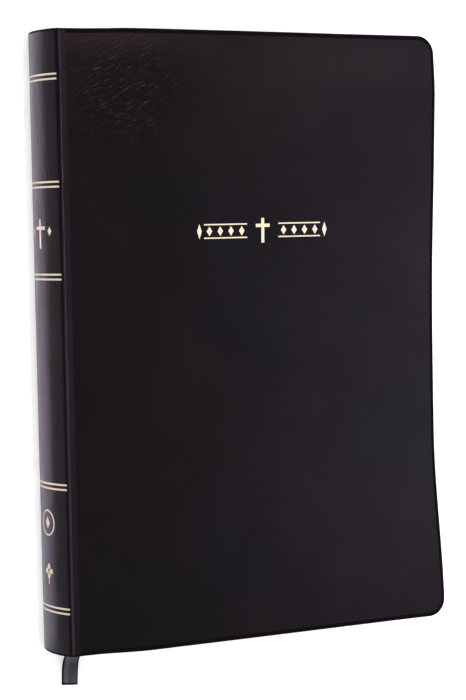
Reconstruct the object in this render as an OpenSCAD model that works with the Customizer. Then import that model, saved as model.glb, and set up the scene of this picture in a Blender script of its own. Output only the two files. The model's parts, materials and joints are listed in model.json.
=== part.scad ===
// A limp-bound bible lying closed on its back cover.
// X runs from the spine to the fore-edge, Y from the tail to the head, Z from the back cover to the front.
// Sections are drawn in "book" coordinates, with x = 0 at the spine's corner and y = 0 at the tail of
// the covers, and placed() then centres the book on the origin.

/* [Book] */
// Height of the covers, tail to head
book_h = 235; // [225:1:245]
// Width of a cover, from the spine's corner to the fore-edge
book_w = 166; // [156:1:176]
// Thickness of the closed book over its covers
book_t = 25.4; // [24:0.1:30]
// How far the covers stand out past the pages
cover_square = 3.5; // [2.5:0.1:5]

/* [Covers] */
// Thickness of one finished cover
cover_t = 2.0; // [1.9:0.1:2.4]
// Thickness of the leather on its outer face
leather_t = 0.8; // [0.6:0.1:0.9]
// Thickness of the limp card inside it
board_t = 0.7; // [0.5:0.1:0.7]
// Radius of the covers' fore-edge corners
cover_r = 8; // [5:0.5:12]
// Width of the leather turned in over the card
turn_in_w = 12; // [8:1:18]
// Distance from the spine's corner to the crease that a cover turns about
crease_x = 3.5; // [3:0.1:5]
// Width of the bare leather hinge between the crease and the card
hinge_w = 7; // [5:0.5:10]

/* [Spine] */
// How far the spine bulges past its corners
spine_bulge = 3; // [2:0.1:4]
// Thickness of the spine's leather
spine_skin_t = 1.1; // [0.9:0.1:1.3]
// How far the sewn folds bulge at mid thickness
fold_bulge = 2; // [1:0.1:2.4]
// Height above the tail at which the spine ornaments stand
spine_title_y = 159; // [150:1:165]

/* [Pages] */
// Radius of the pages' fore-edge corners
page_r = 6; // [3:0.5:10]
// Thickness of a flyleaf
flyleaf_t = 0.25; // [0.2:0.01:0.3]
// Gap that the ribbon lies in, between the two halves of the pages
ribbon_gap = 0.7; // [0.6:0.05:0.9]

/* [Foil] */
// Height that the stamped foil stands proud
foil_t = 0.1; // [0.05:0.01:0.15]
// Width of each rule across the spine
rule_w = 0.7; // [0.5:0.1:1.2]
// Distance between the two rules of a pair
rule_pitch = 1.8; // [1.5:0.1:3]

/* [Hidden] */
$fn = 64;
SECTIONS = 4;
PER_SECTION = 6;
GATHERINGS = SECTIONS * PER_SECTION;
function two_digits(n) = str(n < 10 ? "0" : "", n);
function gathering_name(n) = str("gathering_", two_digits(n));

mid_z = book_t / 2;
// Room left between pieces that move against each other, and between neighbours in one section.
crease_gap = 0.05;
leaf_gap = 0.1;
section_gap = 0.24;
fold_gap = 0.04;
// The pages, between the two flyleaves.
pages_z0 = cover_t + 2 * leaf_gap + flyleaf_t;
pages_t = book_t - 2 * pages_z0;
pages_y0 = cover_square;
pages_y1 = book_h - cover_square;
pages_x1 = book_w - cover_square;
// The folds lie on an arc about an axis along Y, crease_x + fold_inset at the first and last page.
fold_inset = 0.6;
fold_r = (pow(pages_t / 2, 2) + pow(fold_bulge, 2)) / (2 * fold_bulge);
fold_centre_x = crease_x + fold_inset + fold_r - fold_bulge;
// Every leaf has the same width, so the fore-edge is hollow where the folds bulge.
leaf_w = pages_x1 - crease_x - fold_inset;
gathering_t = (pages_t - ribbon_gap - (SECTIONS - 2) * section_gap
    - (GATHERINGS - SECTIONS) * fold_gap) / GATHERINGS;
// The spine's outer face is an arc through both corners.
spine_r = (pow(mid_z, 2) + pow(spine_bulge, 2)) / (2 * spine_bulge);
spine_centre_x = spine_r - spine_bulge;
// Layers of the spine, counted outwards from the folds.
thread_r = 0.15;
thread_off = 0.3;
mull_off = 0.5;
mull_t = 0.4;
lining_off = 0.95;
lining_t = 0.4;
inlay_t = 0.6;
inlay_gap = 0.05;
// How far each layer stops short of the piece that it lies against.
thread_short = 0.4;
mull_short = 0.5;
mull_end = 10;
lining_short = 0.8;
lining_end = 1;
inlay_short = 1;
inlay_end = 2;
// Bands of cord sewn over the ends of the folds.
band_r = 1;
band_gap = 0.15;
band_off = -0.6;
band_short = 1.1;
// Pairs of rules across the spine, measured down from the head.
RULE_DROPS = [17.7, 57.6, 92.1, 170.9, 217.8];
BADGE_DROP = 185;
FLORET_DROP = 203.5;
// Where the ornament stands on the front cover.
ornament_x = 86;
ornament_y = 158.6;
// The spine's foil stops this far from its corners.
foil_margin = 0.3;
// The ribbon's flat section and the route of its middle, in the finished frame: straight down the gutter
// from the head, then out past the tail, where its end sags.
ribbon_w = 6.8;
ribbon_t = 0.3;
RIBBON_ROUTE = [
    [-74.4, 113, 12.7], [-74.4, 100, 12.7], [-74.4, 85, 12.7], [-74.4, 70, 12.7], [-74.4, 55, 12.7],
    [-74.4, 40, 12.7], [-74.4, 25, 12.7], [-74.4, 10, 12.7], [-74.4, -5, 12.7], [-74.4, -20, 12.7],
    [-74.4, -35, 12.7], [-74.4, -50, 12.7], [-74.4, -65, 12.7], [-74.4, -80, 12.7], [-74.4, -95, 12.7],
    [-74.4, -106, 12.7], [-74.4, -112, 12.7], [-74.4, -115, 12.6], [-74.4, -117.5, 12.1],
    [-74.4, -119.5, 10.9], [-74.4, -121.5, 9.3], [-74.4, -123.8, 8.3], [-74.4, -126.5, 7.9],
    [-74.4, -129, 7.65], [-74.4, -131.5, 7.5]
];

// ---- Helpers ----

// Moves a section from book coordinates to the finished frame.
module placed()
    translate([-(book_w - spine_bulge - foil_t) / 2, -book_h / 2, 0]) children();

// Turns a section made for the front of the book over to its back.
module on_back()
    translate([0, 0, book_t]) mirror([0, 0, 1]) children();

// Extrudes a section drawn in (x, z) along Y.
module along_y(y0, y1)
    translate([0, y1, 0]) rotate([90, 0, 0]) linear_extrude(y1 - y0) children();

// Extrudes an outline drawn in (x, y) along Z.
module between_z(z0, z1)
    translate([0, 0, z0]) linear_extrude(z1 - z0) children();

// A plan with square corners at the spine and round ones at the fore-edge.
module plan(x0, x1, y0, y1, r) {
    translate([x0, y0]) square([x1 - r - x0, y1 - y0]);
    translate([x0, y0 + r]) square([x1 - x0, y1 - y0 - 2 * r]);
    for (y = [y0 + r, y1 - r]) translate([x1 - r, y]) circle(r);
}

// The band between two arcs about one centre, cut off at a half height.
module arc_band(centre_x, r0, r1, half_h) {
    intersection() {
        translate([centre_x, mid_z]) difference() {
            circle(r1);
            circle(r0);
        }
        translate([centre_x - r1 - 1, mid_z - half_h]) square([r1 + 1, 2 * half_h]);
    }
}

// A round cord bent along the folds' arc, at a height y, ending at half_h above and below the middle.
module fold_cord(off, r, y, half_h) {
    path_r = fold_r + off;
    swing = asin(half_h / path_r);
    translate([fold_centre_x, y, mid_z]) rotate([90, 0, 0]) rotate([0, 0, 180 - swing])
        rotate_extrude(angle = 2 * swing) translate([path_r, 0]) circle(r);
}

function fold_x(z) = fold_centre_x - sqrt(pow(fold_r, 2) - pow(z - mid_z, 2));

// ---- Covers, made for the front ----

module cover_leather() {
    card_x = crease_x + hinge_w;
    turn_in_up = 0.2;
    hinge_margin = 1;
    difference() {
        between_z(book_t - cover_t + turn_in_up, book_t)
            plan(crease_x + crease_gap, book_w, 0, book_h, cover_r);
        // The hinge is bare leather.
        translate([0, -1, book_t - cover_t - 1])
            cube([card_x - hinge_margin, book_h + 2, cover_t + 1 - spine_skin_t]);
        // The pocket for the card.
        between_z(book_t - leather_t - board_t, book_t - leather_t)
            plan(card_x, book_w - leather_t, leather_t, book_h - leather_t, cover_r - leather_t);
        // What the turn-ins leave open.
        between_z(book_t - cover_t, book_t - leather_t - 0.01)
            plan(card_x - 2 * hinge_margin, book_w - turn_in_w, turn_in_w, book_h - turn_in_w, cover_r / 2);
    }
}

module cover_card() {
    slip = 0.1;
    face_slip = 0.02;
    edge = leather_t + slip;
    between_z(book_t - leather_t - board_t + face_slip, book_t - leather_t - face_slip)
        plan(crease_x + hinge_w + slip, book_w - edge, edge, book_h - edge, cover_r - edge);
}

module cover_pastedown() {
    inset = 3;
    sheet_t = 0.18;
    slip = 0.1;
    between_z(book_t - cover_t, book_t - cover_t + sheet_t)
        plan(crease_x + hinge_w, book_w - inset, inset, book_h - inset, cover_r - inset);
    // Between the turn-ins it lies down on the card.
    between_z(book_t - cover_t, book_t - leather_t - board_t)
        plan(crease_x + hinge_w, book_w - turn_in_w - slip, turn_in_w + slip,
            book_h - turn_in_w - slip, cover_r / 2 - slip);
}

module flyleaf() {
    between_z(book_t - cover_t - leaf_gap - flyleaf_t, book_t - cover_t - leaf_gap)
        plan(crease_x + fold_inset + 1, pages_x1, pages_y0, pages_y1, page_r);
}

module front_cover_leather() color([0.13, 0.12, 0.13]) placed() cover_leather();
module front_cover_card() color([0.55, 0.48, 0.38]) placed() cover_card();
module front_pastedown() color([0.10, 0.09, 0.10]) placed() cover_pastedown();
module front_flyleaf() color([0.93, 0.91, 0.85]) placed() flyleaf();
module back_cover_leather() color([0.13, 0.12, 0.13]) placed() on_back() cover_leather();
module back_cover_card() color([0.55, 0.48, 0.38]) placed() on_back() cover_card();
module back_pastedown() color([0.10, 0.09, 0.10]) placed() on_back() cover_pastedown();
module back_flyleaf() color([0.93, 0.91, 0.85]) placed() on_back() flyleaf();

// ---- Spine ----

// The leather wraps the spine and runs over each shoulder as far as the crease.
module spine_leather() {
    color([0.16, 0.15, 0.16]) placed() along_y(0, book_h) difference() {
        intersection() {
            translate([spine_centre_x, mid_z]) circle(spine_r);
            translate([-spine_bulge - 1, 0]) square([spine_bulge + 1 + crease_x - crease_gap, book_t]);
        }
        intersection() {
            translate([spine_centre_x, mid_z]) circle(spine_r - spine_skin_t);
            translate([-spine_bulge - 1, spine_skin_t])
                square([book_w, book_t - 2 * spine_skin_t]);
        }
    }
}

module spine_inlay() {
    r1 = spine_r - spine_skin_t - inlay_gap;
    color([0.50, 0.44, 0.36]) placed() along_y(inlay_end, book_h - inlay_end)
        arc_band(spine_centre_x, r1 - inlay_t, r1, mid_z - spine_skin_t - inlay_short);
}

module spine_lining() {
    r0 = fold_r + lining_off;
    color([0.62, 0.50, 0.34]) placed() along_y(pages_y0 + lining_end, pages_y1 - lining_end)
        arc_band(fold_centre_x, r0, r0 + lining_t, pages_t / 2 - lining_short);
}

module spine_mull() {
    r0 = fold_r + mull_off;
    color([0.90, 0.88, 0.80]) placed() along_y(pages_y0 + mull_end, pages_y1 - mull_end)
        arc_band(fold_centre_x, r0, r0 + mull_t, pages_t / 2 - mull_short);
}

module sewing_thread() {
    stations = 8;
    end_margin = 12;
    pitch = (pages_y1 - pages_y0 - 2 * end_margin) / (stations - 1);
    color([0.95, 0.94, 0.90]) placed() for (i = [0 : stations - 1])
        fold_cord(thread_off, thread_r, pages_y0 + end_margin + pitch * i, pages_t / 2 - thread_short);
}

module end_band(y) fold_cord(band_off, band_r, y, pages_t / 2 - band_short);
module headband() color([0.45, 0.08, 0.10]) placed() end_band(pages_y1 + band_gap + band_r);
module tailband() color([0.45, 0.08, 0.10]) placed() end_band(pages_y0 - band_gap - band_r);

// ---- Ribbon ----

// The ribbon's section has eight corners, so that its long edges are bevelled.
function ribbon_corner(i) =
    let (bevel = 0.1, w = ribbon_w / 2, t = ribbon_t / 2)
    [[w, -t + bevel], [w, t - bevel], [w - bevel, t], [-w + bevel, t],
     [-w, t - bevel], [-w, -t + bevel], [-w + bevel, -t], [w - bevel, -t]][i];

// The route's direction at a point, in the YZ plane that the route stays in.
function route_dir(i) =
    let (a = RIBBON_ROUTE[max(i - 1, 0)], b = RIBBON_ROUTE[min(i + 1, len(RIBBON_ROUTE) - 1)])
    (b - a) / norm(b - a);

module ribbon_marker() {
    n = len(RIBBON_ROUTE);
    sides = 8;
    points = [for (i = [0 : n - 1]) let (d = route_dir(i), up = [0, -d[2], d[1]]) for (k = [0 : sides - 1])
        RIBBON_ROUTE[i] + ribbon_corner(k)[0] * [1, 0, 0] - ribbon_corner(k)[1] * up];
    walls = [for (i = [0 : n - 2]) for (k = [0 : sides - 1]) let (next = (k + 1) % sides)
        [i * sides + k, i * sides + next, (i + 1) * sides + next, (i + 1) * sides + k]];
    first = [for (k = [sides - 1 : -1 : 0]) k];
    last = [for (k = [0 : sides - 1]) (n - 1) * sides + k];
    color([0.20, 0.19, 0.22]) polyhedron(points, concat(walls, [first], [last]), convexity = 4);
}

// ---- Foil ----

module latin_cross(h, w, t) {
    arm_drop = 0.3;
    translate([-t / 2, -h / 2]) square([t, h]);
    translate([-w / 2, h / 2 - arm_drop * h - t / 2]) square([w, t]);
}

module lozenge(w, h)
    polygon([[w / 2, 0], [0, h / 2], [-w / 2, 0], [0, -h / 2]]);

// A cross between two friezes: each is a row of lozenges between two fine lines.
module cover_ornament() {
    frieze_x0 = 7;
    frieze_w = 19;
    lozenges = 4;
    line_t = 0.5;
    line_y = 2.6;
    end_gap = 2;
    latin_cross(9.6, 6.2, 1.3);
    for (side = [-1, 1]) scale([side, 1]) {
        for (y = [-line_y, line_y]) translate([frieze_x0, y - line_t / 2]) square([frieze_w, line_t]);
        for (i = [0 : lozenges - 1])
            translate([frieze_x0 + frieze_w * (i + 0.5) / lozenges, 0]) lozenge(2.4, 3.6);
        translate([frieze_x0 + frieze_w + end_gap, 0]) lozenge(2, 5.7);
    }
}

module front_foil_ornament()
    color([0.86, 0.74, 0.48]) placed() translate([ornament_x, ornament_y, book_t])
        linear_extrude(foil_t) cover_ornament();

// Lays a shape drawn in (z, y), with z from the spine's middle, onto the spine's outer face.
module on_spine(y) {
    reach = spine_r;
    intersection() {
        along_y(0, book_h) arc_band(spine_centre_x, spine_r, spine_r + foil_t, mid_z - foil_margin);
        translate([-reach, y, mid_z]) rotate([0, 90, 0]) linear_extrude(reach + crease_x) children();
    }
}

module spine_foil_rules() {
    color([0.86, 0.74, 0.48]) placed() for (drop = RULE_DROPS) for (side = [-1, 1]) {
        y = book_h - drop + side * rule_pitch / 2;
        along_y(y - rule_w / 2, y + rule_w / 2)
            arc_band(spine_centre_x, spine_r, spine_r + foil_t, mid_z - foil_margin);
    }
}

module ring_badge() {
    ring_r = 5;
    ring_w = 0.6;
    difference() {
        circle(ring_r);
        circle(ring_r - ring_w);
    }
    lozenge(3, 4.4);
}

module floret() {
    petals = 4;
    petal_r = 1.1;
    petal_off = 1.8;
    stem_w = 0.6;
    stem_h = 5;
    for (i = [0 : petals - 1]) rotate(360 * i / petals) translate([0, petal_off]) circle(petal_r);
    translate([-stem_w / 2, -stem_h]) square([stem_w, stem_h]);
}

module spine_foil_ornaments() {
    side_x = 6.6;
    side_y = 1;
    color([0.86, 0.74, 0.48]) placed() {
        on_spine(spine_title_y) {
            latin_cross(11, 7.2, 1.3);
            for (side = [-1, 1]) translate([side * side_x, side_y]) lozenge(2.2, 3.4);
        }
        on_spine(book_h - BADGE_DROP) ring_badge();
        on_spine(book_h - FLORET_DROP) floret();
    }
}

// ---- Pages ----

// Gatherings are counted from the front. Full sections lie above each one, with their gaps.
function gathering_top(n) =
    let (i = n - 1, s = floor(i / PER_SECTION), inner = i - s)
    book_t - pages_z0 - i * gathering_t - inner * fold_gap
        - (s > SECTIONS / 2 - 1 ? ribbon_gap + (s - 1) * section_gap : s * section_gap);

// One gathering is a stack of leaves folded and sewn along a round fold.
module gathering(n) {
    z1 = gathering_top(n);
    r = gathering_t / 2;
    x0 = fold_x(z1 - r);
    x1 = x0 + leaf_w;
    warmth = (n % 2) * 0.02;
    color([0.93, 0.90 - warmth, 0.82 - warmth]) placed() intersection() {
        along_y(pages_y0, pages_y1) {
            translate([x0 + r, z1 - 2 * r]) square([x1 - x0 - r, 2 * r]);
            translate([x0 + r, z1 - r]) circle(r);
        }
        between_z(z1 - 2 * r - 1, z1 + 1) plan(x0 - 1, x1, pages_y0, pages_y1, page_r);
    }
}

front_cover_leather();
front_cover_card();
front_pastedown();
front_foil_ornament();
front_flyleaf();
back_cover_leather();
back_cover_card();
back_pastedown();
back_flyleaf();
spine_leather();
spine_inlay();
spine_lining();
spine_mull();
sewing_thread();
headband();
tailband();
ribbon_marker();
spine_foil_rules();
spine_foil_ornaments();
for (n = [1 : GATHERINGS]) gathering(n);
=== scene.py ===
import bmesh
import bpy
import json
import math
import numpy as np
from mathutils import Matrix, Vector


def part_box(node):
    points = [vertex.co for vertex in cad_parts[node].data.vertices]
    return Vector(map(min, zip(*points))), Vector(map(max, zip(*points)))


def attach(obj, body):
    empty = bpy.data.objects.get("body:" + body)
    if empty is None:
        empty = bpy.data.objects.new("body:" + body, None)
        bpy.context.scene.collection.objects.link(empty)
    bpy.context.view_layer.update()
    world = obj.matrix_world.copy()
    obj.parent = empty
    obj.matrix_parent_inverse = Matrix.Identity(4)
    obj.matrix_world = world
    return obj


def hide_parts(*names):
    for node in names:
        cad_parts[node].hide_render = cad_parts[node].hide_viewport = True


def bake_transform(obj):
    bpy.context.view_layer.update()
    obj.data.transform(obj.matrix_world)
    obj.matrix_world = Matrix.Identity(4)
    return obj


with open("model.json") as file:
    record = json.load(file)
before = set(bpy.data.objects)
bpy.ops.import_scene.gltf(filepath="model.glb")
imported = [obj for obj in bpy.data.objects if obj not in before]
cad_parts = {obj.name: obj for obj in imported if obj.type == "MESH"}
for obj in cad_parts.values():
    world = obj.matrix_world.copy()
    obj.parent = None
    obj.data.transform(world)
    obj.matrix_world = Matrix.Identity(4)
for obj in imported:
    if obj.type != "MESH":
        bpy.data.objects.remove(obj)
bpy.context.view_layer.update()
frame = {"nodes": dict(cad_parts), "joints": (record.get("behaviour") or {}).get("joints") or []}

# ---- The book's own coordinates, in millimetres ----
# x = 0 at the spine's corner, y = 0 at the covers' tail, z = 0 at the back cover's outer face.
# T, H and W are the closed book's thickness, height and width.

MM = 0.001
_cover_lo, _cover_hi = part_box("front_cover_leather")
T = _cover_hi.z / MM
H = (_cover_hi.y - _cover_lo.y) / MM
CREASE_GAP = 0.05
_hinge = next(j for j in frame["joints"] if j["name"] == "front_cover_hinge")
HINGE_X = _hinge["pos_m"][0]
CREASE = 3.5
ORIGIN = np.array([HINGE_X / MM - CREASE, _cover_lo.y / MM, 0.0])
W = _cover_hi.x / MM - ORIGIN[0]
MID = T / 2

SQUARE = 3.5  # how far the covers stand out past the pages
COVER_R = 7.2
BULGE = 3.0  # how far the spine stands out past its corners
PAGES_Z0 = 2.45
PAGES_T = T - 2 * PAGES_Z0
PAGES_X1 = W - SQUARE
PAGE_R = 6.0
FOLD_INSET = 0.6
FOLD_BULGE = 2.0
FOLD_R = ((PAGES_T / 2) ** 2 + FOLD_BULGE ** 2) / (2 * FOLD_BULGE)
FOLD_CX = CREASE + FOLD_INSET + FOLD_R - FOLD_BULGE
SPINE_R = (MID ** 2 + BULGE ** 2) / (2 * BULGE)
SPINE_CX = SPINE_R - BULGE


def frame_points(points):
    """Book millimetres to the frame's metres."""
    return (np.asarray(points, float) + ORIGIN) * MM


# ---- Camera, at the photograph's angle ----

camera_data = bpy.data.cameras.new("camera")
camera_data.lens = 110.57
camera_data.clip_start = 0.01
camera_data.clip_end = 20
camera = bpy.data.objects.new("camera", camera_data)
bpy.context.scene.collection.objects.link(camera)
bpy.context.scene.camera = camera
# The camera's right, up and backward directions.
CAMERA_AXES = ((0.869132, -0.020824, 0.494141),
               (0.047120, 0.998055, -0.040819),
               (-0.492330, 0.058761, 0.868423))
CAMERA_PLACE = (-0.421011, 0.043991, 0.751358)
camera.matrix_world = Matrix.Translation(CAMERA_PLACE) @ Matrix(CAMERA_AXES).transposed().to_4x4()


# ---- Meshes ----

def new_mesh(name, points, faces, materials, uv, sharp, face_material=None):
    """A piece from book millimetres. uv has one (u, v) for each point, in millimetres. Edges
    that bend by more than sharp degrees stay sharp."""
    me = bpy.data.meshes.new(name)
    me.from_pydata([tuple(p) for p in frame_points(points)], [], [tuple(f) for f in faces])
    for m in materials:
        me.materials.append(m)
    if face_material is not None:
        me.polygons.foreach_set("material_index", np.asarray(face_material, np.int32))
    me.polygons.foreach_set("use_smooth", np.ones(len(me.polygons), bool))
    layer = me.uv_layers.new(name="UVMap")
    corner = np.zeros(len(me.loops), np.int32)
    me.loops.foreach_get("vertex_index", corner)
    uv = np.asarray(uv) * MM
    layer.data.foreach_set("uv", uv.astype(np.float32)[corner].ravel())
    me.update()
    me.set_sharp_from_angle(angle=math.radians(sharp))
    obj = bpy.data.objects.new(name, me)
    bpy.context.scene.collection.objects.link(obj)
    return obj


def steps(a, b, n):
    return np.linspace(a, b, n + 1)


def smooth(t):
    """0 to 1 as t goes from 0 to 1, level at both ends."""
    t = np.clip(t, 0, 1)
    return t * t * (3 - 2 * t)


def distance_along(line):
    """How far each point of a line is along it."""
    return np.concatenate([[0], np.cumsum(np.linalg.norm(np.diff(line, axis=0), axis=1))])


class Plan:
    """A grid over a plan with square corners at the spine and round ones at the fore-edge."""

    CORNER_STEPS = 6
    SMALLEST_R = 1.5

    def __init__(self, x0, x1, y0, y1, r, near, far_n, y_n, bow=None):
        """near lists the columns close to the spine, far_n and y_n count the other steps, and
        bow(x, up) moves points along Y."""
        self.x0, self.x1, self.y0, self.y1, self.r = x0, x1, y0, y1, r
        self.bow = bow
        far = steps(near[-1], x1 - r, far_n)[1:]
        self.xs = np.concatenate([near, far])
        self.ys = steps(y0 + r, y1 - r, y_n)
        self.corner = steps(0, 1, self.CORNER_STEPS)
        self.shape = (len(self.xs) + self.CORNER_STEPS, len(self.ys) + 2 * self.CORNER_STEPS)

    def points(self, d, d0):
        """The grid shrunk by d at the fore-edge, head and tail, and by d0 at the spine."""
        r = max(self.r - d, self.SMALLEST_R)
        x1, y0, y1 = self.x1 - d, self.y0 + d, self.y1 - d
        cx, cy0, cy1 = x1 - r, y0 + r, y1 - r
        span = self.xs[-1] - self.xs[0]
        xs = self.x0 + d0 + (self.xs - self.xs[0]) * (cx - self.x0 - d0) / span
        near = self.xs < self.xs[0] + 0.4 * span
        xs[near] = np.minimum(xs[near], np.maximum(self.xs[near], self.x0 + d0))
        ys = cy0 + (self.ys - self.ys[0]) * (cy1 - cy0) / (self.ys[-1] - self.ys[0])
        xs = np.concatenate([xs, cx + r * self.corner[1:]])
        ys = np.concatenate([y0 + r * (1 - self.corner[::-1])[:-1], ys, cy1 + r * self.corner[1:]])
        x, y = np.meshgrid(xs, ys, indexing="ij")
        for cy, sign in ((cy0, -1), (cy1, 1)):
            v = sign * (y - cy) / r
            u = (x - cx) / r
            m = (u > 0) & (v > 0)
            x = np.where(m, cx + r * u * np.sqrt(np.maximum(1 - v * v / 2, 0)), x)
            y = np.where(m, cy + sign * r * v * np.sqrt(np.maximum(1 - u * u / 2, 0)), y)
        if self.bow:
            y = y + self.bow(x, (y - self.y0) / (self.y1 - self.y0))
        return np.stack([x, y], -1)

    def rim(self):
        """The grid's outline, as index pairs counter-clockwise from the spine's tail corner."""
        nx, ny = self.shape
        tail = [(i, 0) for i in range(nx - 1)]
        fore_edge = [(nx - 1, j) for j in range(ny - 1)]
        head = [(i, ny - 1) for i in range(nx - 1, 0, -1)]
        spine = [(0, j) for j in range(ny - 1, 0, -1)]
        return tail + fore_edge + head + spine


def plate(name, plan, levels, surface, materials, pick=None, flip=False, sharp=40):
    """A closed plate. levels run from the top face down the edge to the bottom face, as
    (d, depth, d0, arc): how far the outline is shrunk, how deep it lies, how far it is shrunk
    at the spine, and the distance run over the edge, for the UVs. The first and last levels
    also carry the two faces' whole grids. surface(x, y, depth) gives z. pick(level) gives the
    material of the faces under a level, with -1 for the top face and len(levels) - 1 for the
    bottom one. A flipped plate is mirrored to the back of the book."""
    nx, ny = plan.shape
    rim = plan.rim()
    rim_i = np.array([i * ny + j for i, j in rim])
    points, uvs, faces, mats = [], [], [], []
    pick = pick or (lambda level: 0)

    def add(xy, depth, uv):
        start = sum(len(p) for p in points)
        points.append(np.column_stack([xy, surface(xy[:, 0], xy[:, 1], depth)]))
        uvs.append(uv)
        return start

    def grid_faces(start, up, mat):
        i, j = np.meshgrid(np.arange(nx - 1), np.arange(ny - 1), indexing="ij")
        a = (start + i * ny + j).ravel()
        quads = np.column_stack([a, a + ny, a + ny + 1, a + 1])
        faces.extend((quads if up else quads[:, ::-1]).tolist())
        mats.extend([mat] * len(quads))

    first = levels[0]
    top = plan.points(first[0], first[2]).reshape(-1, 2)
    start = add(top, first[1], top)
    grid_faces(start, True, pick(-1))
    above = start + rim_i
    n = len(rim)
    turn = np.roll(np.arange(n), -1)
    for k, (d, depth, d0, arc) in enumerate(levels[1:], 1):
        flat = plan.points(first[0] - arc, 0.0).reshape(-1, 2)
        grid = plan.points(d, d0).reshape(-1, 2)
        if k == len(levels) - 1:
            start = add(grid, depth, grid)
            grid_faces(start, False, pick(k))
            below = start + rim_i
        else:
            start = add(grid[rim_i], depth, flat[rim_i])
            below = start + np.arange(n)
        quads = np.column_stack([above, below, below[turn], above[turn]])
        faces.extend(quads.tolist())
        mats.extend([pick(k - 1)] * n)
        above = below
    points = np.concatenate(points)
    if flip:
        points[:, 2] = T - points[:, 2]
        faces = [f[::-1] for f in faces]
    return new_mesh(name, points, faces, materials, np.concatenate(uvs), sharp, mats)


def roll(radius, thickness):
    """Levels of a rounded edge, from the top face to the bottom one."""
    levels = []
    for a in steps(0, math.pi, 6):
        levels.append((radius * (1 - math.sin(a)), thickness * (1 - math.cos(a)) / 2, 0.0, radius * a))
    return levels


# ---- Materials ----

class Shader:
    """A node material with a Principled shader, and short ways to add nodes."""

    def __init__(self, name, uv=True):
        self.material = bpy.data.materials.new(name)
        self.material.use_nodes = True
        self.tree = self.material.node_tree
        self.bsdf = self.tree.nodes["Principled BSDF"]
        coords = self.node("ShaderNodeTexCoord")
        scale = self.node("ShaderNodeVectorMath", operation="SCALE")
        scale.inputs["Scale"].default_value = 1 / MM
        self.tree.links.new(coords.outputs["UV" if uv else "Object"], scale.inputs[0])
        self.mm = scale.outputs[0]

    def node(self, kind, **settings):
        n = self.tree.nodes.new(kind)
        for k, v in settings.items():
            setattr(n, k, v)
        return n

    def put(self, socket, value):
        if isinstance(value, bpy.types.NodeSocket):
            self.tree.links.new(value, socket)
        else:
            socket.default_value = value

    def stretched(self, x, y, z=1.0, turn=0.0):
        """The coordinates turned, then scaled: a small x draws marks out along that turn."""
        m = self.node("ShaderNodeMapping", vector_type="TEXTURE")
        self.put(m.inputs["Vector"], self.mm)
        m.inputs["Rotation"].default_value = (0, 0, turn)
        m.inputs["Scale"].default_value = (1 / x, 1 / y, 1 / z)
        return m.outputs[0]

    def noise(self, vector, scale, detail=2.0, rough=0.5):
        n = self.node("ShaderNodeTexNoise")
        self.put(n.inputs["Vector"], vector)
        for k, v in (("Scale", scale), ("Detail", detail), ("Roughness", rough)):
            n.inputs[k].default_value = v
        return n.outputs["Fac"]

    def cells(self, vector, scale):
        """The distance to the nearest edge between random cells."""
        n = self.node("ShaderNodeTexVoronoi", feature="DISTANCE_TO_EDGE")
        self.put(n.inputs["Vector"], vector)
        n.inputs["Scale"].default_value = scale
        return n.outputs["Distance"]

    def warped(self, vector, scale, amount):
        """The coordinates moved about by a noise, so that cells aren't straight-edged."""
        n = self.node("ShaderNodeTexNoise")
        self.put(n.inputs["Vector"], vector)
        n.inputs["Scale"].default_value = scale
        m = self.node("ShaderNodeVectorMath", operation="MULTIPLY_ADD")
        self.put(m.inputs[0], n.outputs["Color"])
        m.inputs[1].default_value = (amount,) * 3
        self.put(m.inputs[2], vector)
        return m.outputs[0]

    def math(self, operation, a, b=0.0, c=0.0, clamp=False):
        n = self.node("ShaderNodeMath", operation=operation, use_clamp=clamp)
        for s, v in zip(n.inputs, (a, b, c)):
            self.put(s, v)
        return n.outputs[0]

    def ramp(self, value, a, b, lo=0.0, hi=1.0):
        """value from a to b becomes lo to hi, smoothly and clamped."""
        n = self.node("ShaderNodeMapRange", interpolation_type="SMOOTHSTEP")
        for k, v in (("Value", value), ("From Min", a), ("From Max", b), ("To Min", lo),
                     ("To Max", hi)):
            self.put(n.inputs[k], v)
        return n.outputs["Result"]

    def mix(self, factor, a, b):
        n = self.node("ShaderNodeMix", data_type="RGBA")
        self.put(n.inputs["Factor"], factor)
        for name, v in (("A", a), ("B", b)):
            socket = next(s for s in n.inputs if s.name == name and s.type == "RGBA")
            self.put(socket, v if isinstance(v, bpy.types.NodeSocket) else (*v, 1.0))
        return next(s for s in n.outputs if s.type == "RGBA")

    def bump(self, height, depth, strength=1.0, before=None):
        """The bent normal, where height from 0 to 1 stands for depth millimetres."""
        n = self.node("ShaderNodeBump")
        self.put(n.inputs["Height"], height)
        self.put(n.inputs["Strength"], strength)
        n.inputs["Distance"].default_value = depth * MM
        if before is not None:
            self.put(n.inputs["Normal"], before)
        return n.outputs[0]

    def axis(self, which):
        n = self.node("ShaderNodeSeparateXYZ")
        self.put(n.inputs[0], self.mm)
        return n.outputs[which]

    def near(self, centre, radius, soft):
        """1 close to a point of the coordinates, falling to 0 at radius + soft."""
        n = self.node("ShaderNodeVectorMath", operation="DISTANCE")
        self.put(n.inputs[0], self.mm)
        n.inputs[1].default_value = centre
        return self.ramp(n.outputs["Value"], radius, radius + soft, 1.0, 0.0)

    def set(self, **values):
        """Sets or links the Principled shader's inputs, and gives the material."""
        for k, v in values.items():
            socket = self.bsdf.inputs[k.replace("_", " ")]
            if isinstance(v, tuple) and len(v) == 3 and socket.type == "RGBA":
                v = (*v, 1.0)
            self.put(socket, v)
        return self.material


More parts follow.
